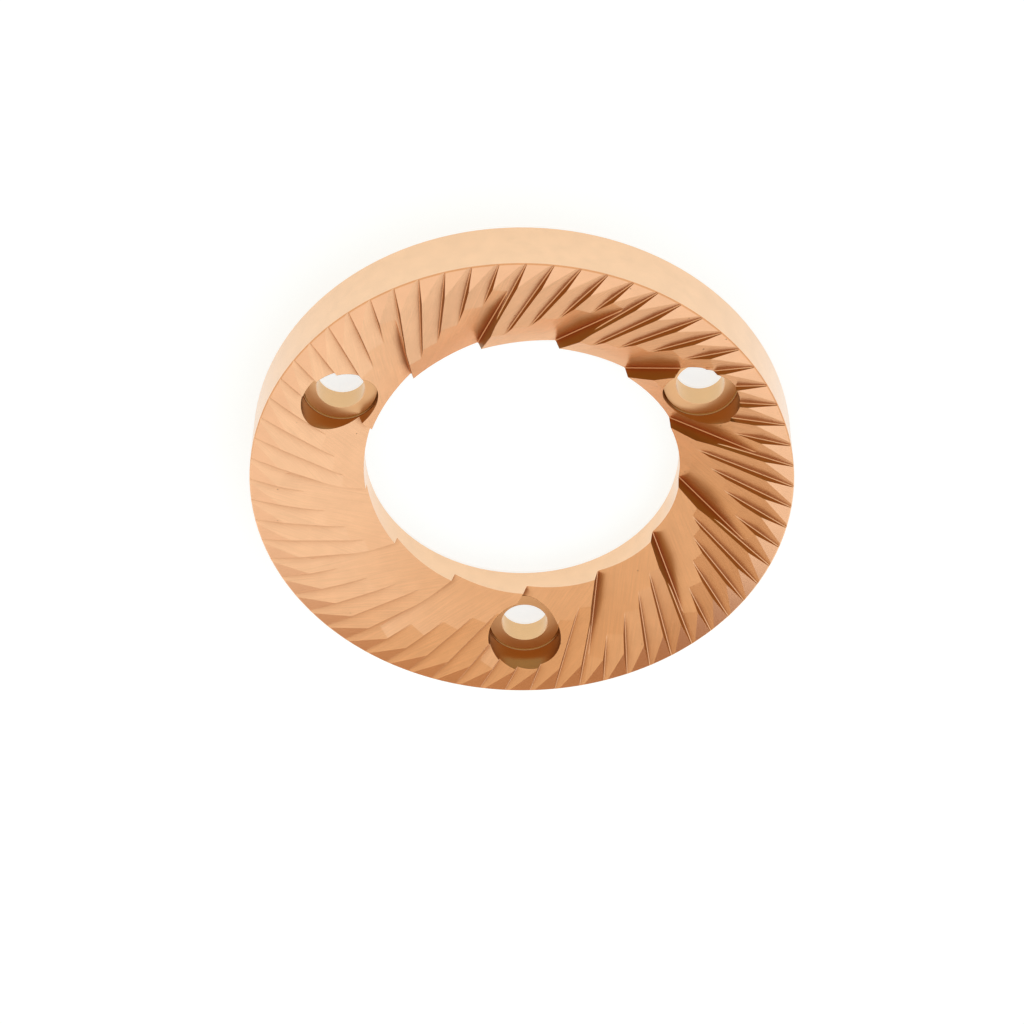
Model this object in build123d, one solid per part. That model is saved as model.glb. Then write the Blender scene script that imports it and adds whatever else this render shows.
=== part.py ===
"""Flat grinding burr: one hardened steel ring, toothed on its face, held by three screws.

The ring lies on its back: the origin is the centre of the back face, +Z runs up the axis to the
teeth and the first screw hole is 30 degrees round from +X. Grooves are described by their root
line, which starts on the rim and leans off the radius on its way to the bore. Units are mm.
"""
import os
from math import cos, radians, sin, sqrt, tan

from build123d import *

# ring
outer_d = 64.0
bore_d = 37.4
thickness = 7.4
face_edge_break = 0.15
back_edge_break = 0.15
bore_back_chamfer = 0.55

# screw holes
screw_count = 3
screw_circle_d = 48.3
screw_hole_d = 5.7
screw_back_chamfer = 0.5
head_pocket_d = 8.85
head_pocket_depth = 3.9
head_pocket_corner = 0.15
first_screw_deg = 30.0

# teeth: every fine_per_sector-th fine groove opens into a main groove
sector_count = 13
fine_per_sector = 5

# fine grooves, cut from rim to bore
first_fine_deg = 5.07
fine_lean_deg = 20.9
fine_rim_depth = 0.123
fine_fall_deg = 7.58
fine_wall_deg = 25.2
fine_floor_deg = 18.4
fine_root_r = 0.10

# main grooves, which start inside the rim and twist steeper as they deepen
first_main_deg = 6.16
main_lean_deg = 19.8
main_start = 2.75
main_fall_deg = 19.9
main_wall_deg = 14.0
main_floor_slope_at_rim = 0.252
main_floor_twist_per_mm = 0.02
main_root_chamfer = 0.10

# room left round a cutting tool
clearance = 1.5

outer_r = outer_d / 2
bore_r = bore_d / 2
sector_deg = 360 / sector_count


def root_plane(lean_deg, fall_deg=0.0):
    """Plane at a groove's rim end: x across the groove, y down into the face, z along the root."""
    lean, fall = radians(lean_deg), radians(fall_deg)
    across = Vector(sin(lean), cos(lean), 0)
    along = Vector(-cos(lean) * cos(fall), sin(lean) * cos(fall), -sin(fall))
    return Plane(origin=(outer_r, 0, thickness), x_dir=across, z_dir=along)


def root_length(lean_deg):
    """Distance along a root, seen from above, between the rim and the bore."""
    lean = radians(lean_deg)
    return outer_r * cos(lean) - sqrt(bore_r**2 - (outer_r * sin(lean)) ** 2)


def groove_profile(plane, depth, wall_tan, floor_slope, floor_width, ease_root, root_size):
    """Groove section with a steep wall at -x, a floor rising to +x and an eased root."""
    top = min(depth - floor_slope * floor_width, 0) - clearance
    with BuildSketch(plane) as sketch:
        with BuildLine():
            Polyline(
                (0, depth),
                (floor_width, depth - floor_slope * floor_width),
                (floor_width, top),
                (-(depth - top) * wall_tan, top),
                close=True,
            )
        make_face()
        ease_root(sketch.vertices().sort_by(Axis.Y)[-1], root_size)
    return sketch.sketch


def patterned(tool, count, start_deg):
    return [Rot(Z=start_deg + i * 360 / count) * tool for i in range(count)]


# ring blank
with BuildPart() as ring:
    with BuildSketch(Plane.XZ):
        with BuildLine():
            Polyline(
                (bore_r + bore_back_chamfer, 0),
                (outer_r - back_edge_break, 0),
                (outer_r, back_edge_break),
                (outer_r, thickness - face_edge_break),
                (outer_r - face_edge_break, thickness),
                (bore_r, thickness),
                (bore_r, bore_back_chamfer),
                close=True,
            )
        make_face()
    revolve(axis=Axis.Z)

# one fine groove: a straight V that falls towards the bore
fine_length = root_length(fine_lean_deg) / cos(radians(fine_fall_deg))
fine_end_depth = fine_rim_depth + fine_length * tan(radians(fine_fall_deg))
fine_plane = root_plane(fine_lean_deg, fine_fall_deg)
fine_slope = tan(radians(fine_floor_deg))
fine_profile = groove_profile(
    fine_plane.offset(-clearance),
    fine_rim_depth,
    tan(radians(fine_wall_deg)),
    fine_slope,
    (fine_end_depth + clearance) / fine_slope,
    fillet,
    fine_root_r,
)
fine_tool = extrude(fine_profile, fine_length + 2 * clearance, dir=fine_plane.z_dir)

# one main groove: its floor is ruled between a section at the rim and one past the bore
main_plane = root_plane(main_lean_deg)
bore_exit = main_plane.origin + main_plane.z_dir * root_length(main_lean_deg)
next_exit = bore_exit.rotate(Axis.Z, sector_deg)
main_end = (next_exit - main_plane.origin).dot(main_plane.z_dir) + clearance
main_floor_width = (next_exit - bore_exit).length


def main_profile(station):
    return groove_profile(
        main_plane.offset(station),
        (station - main_start) * tan(radians(main_fall_deg)),
        tan(radians(main_wall_deg)),
        main_floor_slope_at_rim + main_floor_twist_per_mm * station,
        main_floor_width,
        chamfer,
        main_root_chamfer,
    )


main_tool = loft([main_profile(0), main_profile(main_end)], ruled=True)

# one screw hole: clearance hole, pocket for the head and a broken edge at the back
with BuildPart() as screw_tool:
    with BuildSketch(Plane.XZ) as screw_half:
        with BuildLine():
            Polyline(
                (0, -clearance),
                (screw_hole_d / 2 + screw_back_chamfer + clearance, -clearance),
                (screw_hole_d / 2, screw_back_chamfer),
                (screw_hole_d / 2, thickness - head_pocket_depth),
                (head_pocket_d / 2, thickness - head_pocket_depth),
                (head_pocket_d / 2, thickness + clearance),
                (0, thickness + clearance),
                close=True,
            )
        make_face()
        seat_corner = (head_pocket_d / 2, thickness - head_pocket_depth, 0)
        chamfer(screw_half.vertices().sort_by_distance(seat_corner)[0], head_pocket_corner)
    revolve(axis=Axis.Z)
screw_tool = Pos(screw_circle_d / 2, 0, 0) * screw_tool.part

burr = ring.part - (
    patterned(fine_tool, sector_count * fine_per_sector, first_fine_deg)
    + patterned(main_tool, sector_count, first_main_deg)
    + patterned(screw_tool, screw_count, first_screw_deg)
)

os.makedirs("parts", exist_ok=True)
export_step(burr, "parts/burr.step")
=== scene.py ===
from math import pi, radians, sin

import bpy
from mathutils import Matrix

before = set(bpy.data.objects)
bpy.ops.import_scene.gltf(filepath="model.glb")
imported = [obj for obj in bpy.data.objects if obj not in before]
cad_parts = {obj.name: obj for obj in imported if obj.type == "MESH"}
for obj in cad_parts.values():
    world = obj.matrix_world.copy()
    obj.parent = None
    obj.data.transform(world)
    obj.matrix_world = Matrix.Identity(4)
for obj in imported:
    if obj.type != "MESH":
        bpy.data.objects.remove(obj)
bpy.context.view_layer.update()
scene = bpy.context.scene
scene.view_settings.view_transform = "Standard"


# Burr: one ring of hardened tool steel, turned, ground with its teeth and then coated, which gives
# it its copper colour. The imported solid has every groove, so it is shown as it is.
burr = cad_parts["burr"]


def linear(colour):
    """sRGB hex to the linear colour that shader sockets take."""
    parts = [int(colour[i:i + 2], 16) / 255 for i in (1, 3, 5)]
    return tuple(c / 12.92 if c <= 0.04045 else ((c + 0.055) / 1.055) ** 2.4 for c in parts) + (1,)


def add(tree, kind, links=(), stops=(), **settings):
    """Adds a node, sets its properties and colour stops, and links or sets its inputs."""
    node = tree.nodes.new(kind)
    for key, value in settings.items():
        setattr(node, key, value)
    for socket, value in dict(links).items():
        if isinstance(value, bpy.types.NodeSocket):
            tree.links.new(value, node.inputs[socket])
        else:
            node.inputs[socket].default_value = value
    for _ in stops[2:]:
        node.color_ramp.elements.new(0.5)
    for number, (at, colour) in enumerate(stops):
        node.color_ramp.elements[number].position = at
        node.color_ramp.elements[number].color = linear(colour)
    return node


# Coating: a thin vapour-deposited layer that keeps the satin of the ground steel under it. Floors show
# the wheel's lines along each sector and smear what they mirror; steep walls and pockets are duller and
# golden, with a darker tone that is painted shade; roots are light lines of painted highlight; inner
# corners get painted brown shade.
coating = bpy.data.materials.new("satin_copper_coating")
coating.use_nodes = True
tree = coating.node_tree
tree.nodes.clear()

# sockets of a Mix node that share a name
number_a, number_b, colour_a, colour_b, mixed_colour = 2, 3, 6, 7, 2

mm_per_m = 1000.0
place = add(tree, "ShaderNodeTexCoord")
in_mm = add(tree, "ShaderNodeVectorMath", {0: place.outputs["Object"], "Scale": mm_per_m},
            operation="SCALE").outputs[0]
spot = add(tree, "ShaderNodeSeparateXYZ", {0: in_mm})
flat = add(tree, "ShaderNodeCombineXYZ", {"X": spot.outputs["X"], "Y": spot.outputs["Y"]})
radius = add(tree, "ShaderNodeVectorMath", {0: flat.outputs[0]}, operation="LENGTH").outputs["Value"]
angle = add(tree, "ShaderNodeMath", {0: spot.outputs["Y"], 1: spot.outputs["X"]},
            operation="ARCTAN2").outputs[0]
tilt = add(tree, "ShaderNodeSeparateXYZ", {0: place.outputs["Normal"]}).outputs["Z"]

# which of the thirteen sectors a point is in, from the leaning line of its main groove's root
sectors, first_root, root_lean, rim_r = 13, radians(6.16), radians(19.8), 32.0
pitch = 2 * pi / sectors
nearness = add(tree, "ShaderNodeMath", {0: rim_r * sin(root_lean), 1: radius}, operation="DIVIDE")
lag = add(tree, "ShaderNodeMath", {0: nearness.outputs[0]}, operation="ARCCOSINE")
turned = add(tree, "ShaderNodeMath", {0: angle, 1: lag.outputs[0]}, operation="ADD")
turned = add(tree, "ShaderNodeMath", {0: turned.outputs[0], 1: first_root + pi / 2 - root_lean},
             operation="SUBTRACT")
sector = add(tree, "ShaderNodeMath", {0: turned.outputs[0], 1: pitch}, operation="DIVIDE")
sector = add(tree, "ShaderNodeMath", {0: sector.outputs[0]}, operation="FLOOR").outputs[0]
back_turn = add(tree, "ShaderNodeMath", {0: sector, 1: -pitch, 2: root_lean - first_root},
                operation="MULTIPLY_ADD").outputs[0]
along_root = add(tree, "ShaderNodeVectorRotate", {"Vector": in_mm, "Angle": back_turn},
                 rotation_type="Z_AXIS")

# grinding lines, 6 mm long: the wheel's own are finer, and 0.16 mm apart is what the render can show
line_length, line_gap, line_rise, line_depth = 6.0, 0.16, 3.0, 0.01
lines_at = add(tree, "ShaderNodeVectorMath",
               {0: along_root.outputs[0], 1: (1 / line_length, 1 / line_gap, 1 / line_rise)},
               operation="MULTIPLY")
lines = add(tree, "ShaderNodeTexNoise",
            {"Vector": lines_at.outputs[0], "W": sector, "Scale": 1.0, "Detail": 2.0},
            noise_dimensions="4D").outputs["Fac"]
# blotches in the coating, about 2 mm across
blotch_size = 2.0
blotch = add(tree, "ShaderNodeTexNoise",
             {"Vector": in_mm, "Scale": 1 / blotch_size, "Detail": 2.0}).outputs["Fac"]

# distance from the nearest screw's axis
screw_circle_r, screws, first_screw = 24.15, 3, radians(30.0)
third = add(tree, "ShaderNodeMath", {0: angle, 1: first_screw}, operation="SUBTRACT")
third = add(tree, "ShaderNodeMath", {0: third.outputs[0], 1: pi / screws, 2: -pi / screws},
            operation="WRAP").outputs[0]
off_x = add(tree, "ShaderNodeMath", {0: third}, operation="COSINE")
off_x = add(tree, "ShaderNodeMath", {0: off_x.outputs[0], 1: radius, 2: -screw_circle_r},
            operation="MULTIPLY_ADD")
off_y = add(tree, "ShaderNodeMath", {0: third}, operation="SINE")
off_y = add(tree, "ShaderNodeMath", {0: off_y.outputs[0], 1: radius}, operation="MULTIPLY")
off = add(tree, "ShaderNodeCombineXYZ", {"X": off_x.outputs[0], "Y": off_y.outputs[0]})
from_screw = add(tree, "ShaderNodeVectorMath", {0: off.outputs[0]}, operation="LENGTH").outputs["Value"]

# kinds of surface by slope, which is how far the normal points up: 0 on the rim and 1 on the lands
no, yes = "#000000", "#FFFFFF"
upright, steep, eased, ground = (
    add(tree, "ShaderNodeValToRGB", {"Fac": tilt}, slopes).outputs["Color"]
    for slopes in (
        ((0.02, yes), (0.08, no)),
        ((0.06, no), (0.14, yes), (0.44, yes), (0.48, no)),
        ((0.46, no), (0.50, yes), (0.76, yes), (0.80, no)),
        ((0.60, no), (0.78, yes), (0.975, yes), (0.99, no)),
    ))

# rings round a screw's axis, by the middle and half the width of each
pocket, seat, near_hole = (
    add(tree, "ShaderNodeMath", {0: from_screw, 1: middle, 2: half}, operation="COMPARE").outputs[0]
    for middle, half in ((4.35, 0.09), (3.57, 0.70), (2.85, 0.30)))
hole = add(tree, "ShaderNodeMath", {0: upright, 1: near_hole}, operation="MULTIPLY").outputs[0]

# eased roots of the grooves, without the rim's broken edge and the pockets' corners, which slope alike
rim_break_r, pocket_edge, past_pocket = 31.7, 4.35, 4.55
inside = add(tree, "ShaderNodeMath", {0: radius, 1: rim_break_r}, operation="LESS_THAN")
outside = add(tree, "ShaderNodeMapRange",
              {"Value": from_screw, "From Min": pocket_edge, "From Max": past_pocket}).outputs[0]
root = add(tree, "ShaderNodeMath", {0: eased, 1: inside.outputs[0]}, operation="MULTIPLY")
root = add(tree, "ShaderNodeMath", {0: root.outputs[0], 1: outside}, operation="MULTIPLY").outputs[0]

land_copper, ground_copper, pit_brown, corner_shade_brown = "#F7C298", "#F9C79C", "#6A4020", "#B47040"
tone = add(tree, "ShaderNodeMix",
           {0: ground, colour_a: linear(land_copper), colour_b: linear(ground_copper)}, data_type="RGBA")
# steep walls and pockets get a darker tone that is painted shade, and roots a light tone that is a painted
# highlight
for surface, colour in ((upright, "#F8D0AA"), (seat, "#F6C694"), (steep, "#966E38"),
                        (pocket, "#A2733E"), (hole, "#EDC492"), (root, "#FFE4C0")):
    tone = add(tree, "ShaderNodeMix",
               {0: surface, colour_a: tone.outputs[mixed_colour], colour_b: linear(colour)},
               data_type="RGBA")

# blotches and grinding lines vary the tone by a few hundredths
noise_low, noise_high = 0.3, 0.7
mottle = add(tree, "ShaderNodeMapRange", {"Value": blotch, "From Min": noise_low, "From Max": noise_high,
                                          "To Min": 0.97, "To Max": 1.02})
scored = add(tree, "ShaderNodeMapRange", {"Value": lines, "From Min": noise_low, "From Max": noise_high,
                                          "To Min": 0.96, "To Max": 1.04})
scored = add(tree, "ShaderNodeMix", {0: ground, number_a: 1.0, number_b: scored.outputs[0]})
worn = add(tree, "ShaderNodeMath", {0: mottle.outputs[0], 1: scored.outputs[0]}, operation="MULTIPLY")
tone = add(tree, "ShaderNodeVectorMath",
           {0: tone.outputs[mixed_colour], "Scale": worn.outputs[0]}, operation="SCALE")

# pits in open faces, about 2.2 mm apart and up to 0.2 mm across
pit_gap, pit_core_r, pit_r, pit_strength, open_slope = 2.2, 0.055, 0.099, 0.7, 0.8
pits_at = add(tree, "ShaderNodeTexVoronoi", {"Vector": in_mm, "Scale": 1 / pit_gap})
pits = add(tree, "ShaderNodeMapRange",
           {"Value": pits_at.outputs["Distance"], "From Min": pit_core_r / pit_gap,
            "From Max": pit_r / pit_gap, "To Min": pit_strength, "To Max": 0.0})
open_face = add(tree, "ShaderNodeMath", {0: tilt, 1: open_slope}, operation="GREATER_THAN")
pits = add(tree, "ShaderNodeMath", {0: pits.outputs[0], 1: open_face.outputs[0]}, operation="MULTIPLY")
tone = add(tree, "ShaderNodeMix",
           {0: pits.outputs[0], colour_a: tone.outputs[0], colour_b: linear(pit_brown)}, data_type="RGBA")

# painted shade: inner corners within 1.1 mm of a wall, found by occlusion, are painted browner, but not
# roots
corner_reach, corner_shut, corner_open = 1.1, 0.45, 0.86
openness = add(tree, "ShaderNodeAmbientOcclusion", {"Distance": corner_reach / mm_per_m},
               samples=4, only_local=True)
corner_shade = add(tree, "ShaderNodeMapRange",
             {"Value": openness.outputs["AO"], "From Min": corner_shut, "From Max": corner_open,
              "To Min": 1.0, "To Max": 0.0})
corner_shade = add(tree, "ShaderNodeMath", {0: corner_shade.outputs[0], 1: outside}, operation="MULTIPLY")
corner_shade = add(tree, "ShaderNodeMath", {0: corner_shade.outputs[0], 1: root}, operation="SUBTRACT", use_clamp=True)
tone = add(tree, "ShaderNodeMix",
           {0: corner_shade.outputs[0], colour_a: tone.outputs[mixed_colour], colour_b: linear(corner_shade_brown)},
           data_type="RGBA")

land_rough, ground_rough = 0.20, 0.27
rough = add(tree, "ShaderNodeMix", {0: ground, number_a: land_rough, number_b: ground_rough})
for surface, roughness in ((seat, 0.38), (steep, 0.35)):
    rough = add(tree, "ShaderNodeMix", {0: surface, number_a: rough.outputs[0], number_b: roughness})
depth = add(tree, "ShaderNodeMath", {0: lines, 1: ground}, operation="MULTIPLY")
relief = add(tree, "ShaderNodeBump",
             {"Height": depth.outputs[0], "Strength": 0.12, "Distance": line_depth / mm_per_m})

# the lines smear a reflection across the groove
line_smear = 0.75
forward_turn = add(tree, "ShaderNodeMath", {0: back_turn, 1: -1.0}, operation="MULTIPLY")
across = add(tree, "ShaderNodeVectorRotate", {"Vector": (0, 1, 0), "Angle": forward_turn.outputs[0]},
             rotation_type="Z_AXIS")
smear = add(tree, "ShaderNodeMath", {0: ground, 1: line_smear}, operation="MULTIPLY")
shader = add(tree, "ShaderNodeBsdfPrincipled", {
    "Base Color": tone.outputs[mixed_colour], "Metallic": 1.0, "Roughness": rough.outputs[0],
    "Normal": relief.outputs[0], "Anisotropic": smear.outputs[0], "Tangent": across.outputs[0],
})
add(tree, "ShaderNodeOutputMaterial", {"Surface": shader.outputs["BSDF"]})
burr.data.materials.clear()
burr.data.materials.append(coating)


# Floor: a wide sheet of matt white card that the burr lies on. It takes the burr's shadow from the
# tent's light, and is lifted to white where it is seen, straight or in the metal.
floor_half, white_lift = 3.0, 0.73
floor_mesh = bpy.data.meshes.new("floor")
floor_mesh.from_pydata(
    [(-floor_half, -floor_half, 0), (floor_half, -floor_half, 0),
     (floor_half, floor_half, 0), (-floor_half, floor_half, 0)], [], [(0, 1, 2, 3)])
floor = bpy.data.objects.new("floor", floor_mesh)
scene.collection.objects.link(floor)
card = bpy.data.materials.new("matt_white_card")
card.use_nodes = True
tree = card.node_tree
tree.nodes.clear()
ray = add(tree, "ShaderNodeLightPath")
seen = add(tree, "ShaderNodeMath", {0: ray.outputs["Is Camera Ray"], 1: ray.outputs["Is Glossy Ray"]},
           operation="ADD")
seen = add(tree, "ShaderNodeMath", {0: seen.outputs[0], 1: ray.outputs["Is Transmission Ray"]},
           operation="ADD")
glow = add(tree, "ShaderNodeMath", {0: seen.outputs[0], 1: white_lift}, operation="MULTIPLY")
paper = add(tree, "ShaderNodeBsdfDiffuse", {"Color": linear("#A0AFB7")})
lift = add(tree, "ShaderNodeEmission", {"Color": linear("#FFFFFF"), "Strength": glow.outputs[0]})
sheet = add(tree, "ShaderNodeAddShader", {0: paper.outputs[0], 1: lift.outputs[0]})
add(tree, "ShaderNodeOutputMaterial", {"Surface": sheet.outputs[0]})
floor_mesh.materials.append(card)


# Light: a tent of thin white cloth, lit from outside. It is brightest behind the burr and above it to
# the right, has a duller patch overhead to the left, and is dimmer and warmer round the sides.
world = bpy.data.worlds.new("tent")
scene.world = world
world.use_nodes = True
tree = world.node_tree
tree.nodes.clear()
brightest, duller = (0.35, -0.50, 0.79), (-0.33, -0.21, 0.92)
where = add(tree, "ShaderNodeTexCoord").outputs["Generated"]
main = add(tree, "ShaderNodeVectorMath", {0: where, 1: brightest}, operation="DOT_PRODUCT")
main = add(tree, "ShaderNodeMapRange", {"Value": main.outputs["Value"], "From Min": 0.56, "From Max": 0.90,
                                        "To Min": 0.68, "To Max": 1.0})
patch = add(tree, "ShaderNodeVectorMath", {0: where, 1: duller}, operation="DOT_PRODUCT")
patch = add(tree, "ShaderNodeMapRange", {"Value": patch.outputs["Value"], "From Min": 0.90,
                                         "From Max": 0.965, "To Min": 1.0, "To Max": 0.70},
            interpolation_type="SMOOTHSTEP")
level = add(tree, "ShaderNodeMath", {0: main.outputs[0], 1: patch.outputs[0]}, operation="MULTIPLY")
cloth = add(tree, "ShaderNodeValToRGB", {"Fac": level.outputs[0]},
            ((0.20, "#AA7C48"), (0.40, "#CEAA80"), (0.60, "#E3CBAB"), (0.80, "#F3E9DF"), (1.0, "#FFFFFF")))
sky = add(tree, "ShaderNodeBackground", {"Color": cloth.outputs["Color"], "Strength": 1.0})
add(tree, "ShaderNodeOutputWorld", {"Surface": sky.outputs[0]})


# Card: a brown card that glows, standing behind the burr past the picture's edge, with its right edge
# cut on a slant. It is a painted reflection that darkens the teeth on that side, darker still towards its
# top right, and only the metal sees it.
reflection_card_left, reflection_card_right, reflection_card_foot, reflection_card_top, reflection_card_y = -0.055, 0.050, 0.035, 0.095, -0.090
reflection_card_slant, reflection_card_darker_right, reflection_card_darkest_from = 0.045, 0.35, 0.72
reflection_card_mesh = bpy.data.meshes.new("painted_reflection_card")
reflection_card_mesh.from_pydata(
    [(reflection_card_left, reflection_card_y, reflection_card_foot), (reflection_card_right - reflection_card_slant, reflection_card_y, reflection_card_foot),
     (reflection_card_right, reflection_card_y, reflection_card_top), (reflection_card_left, reflection_card_y, reflection_card_top)], [], [(0, 1, 2, 3)])
reflection_card = bpy.data.objects.new("painted_reflection_card", reflection_card_mesh)
scene.collection.objects.link(reflection_card)
reflection_paint = bpy.data.materials.new("painted_reflection_brown")
reflection_paint.use_nodes = True
tree = reflection_paint.node_tree
tree.nodes.clear()
spot = add(tree, "ShaderNodeSeparateXYZ", {0: add(tree, "ShaderNodeTexCoord").outputs["Object"]})
slope = add(tree, "ShaderNodeMath",
            {0: spot.outputs["X"], 1: reflection_card_darker_right, 2: spot.outputs["Z"]}, operation="MULTIPLY_ADD")
fade = add(tree, "ShaderNodeMapRange",
           {"Value": slope.outputs[0], "From Min": reflection_card_foot, "From Max": reflection_card_top}).outputs[0]
brown = add(tree, "ShaderNodeMix",
            {0: fade, colour_a: linear("#DFC3A0"), colour_b: linear("#A87844")}, data_type="RGBA")
end = add(tree, "ShaderNodeMapRange", {"Value": fade, "From Min": reflection_card_darkest_from, "From Max": 1.0})
brown = add(tree, "ShaderNodeMix",
            {0: end.outputs[0], colour_a: brown.outputs[mixed_colour], colour_b: linear("#84480F")},
            data_type="RGBA")
# the card glows with its brown, which shows only as a painted reflection in the metal
reflection_glow = add(tree, "ShaderNodeEmission", {"Color": brown.outputs[mixed_colour], "Strength": 1.0})
add(tree, "ShaderNodeOutputMaterial", {"Surface": reflection_glow.outputs[0]})
reflection_card_mesh.materials.append(reflection_paint)
reflection_card.visible_camera = reflection_card.visible_shadow = reflection_card.visible_diffuse = False


# Camera: looks down on the lying burr at the angle at which the photograph looks at its face, turned
# over so that the ring's near side is at the top of the picture.
camera_data = bpy.data.cameras.new("camera")
camera_data.lens = 118.82
camera_data.sensor_width = 36.0
camera = bpy.data.objects.new("camera", camera_data)
camera.location = (0.004343, 0.247082, 0.318620)
camera.rotation_euler = [radians(a) for a in (-38.853, 0.265, -0.938)]
scene.collection.objects.link(camera)
scene.camera = camera
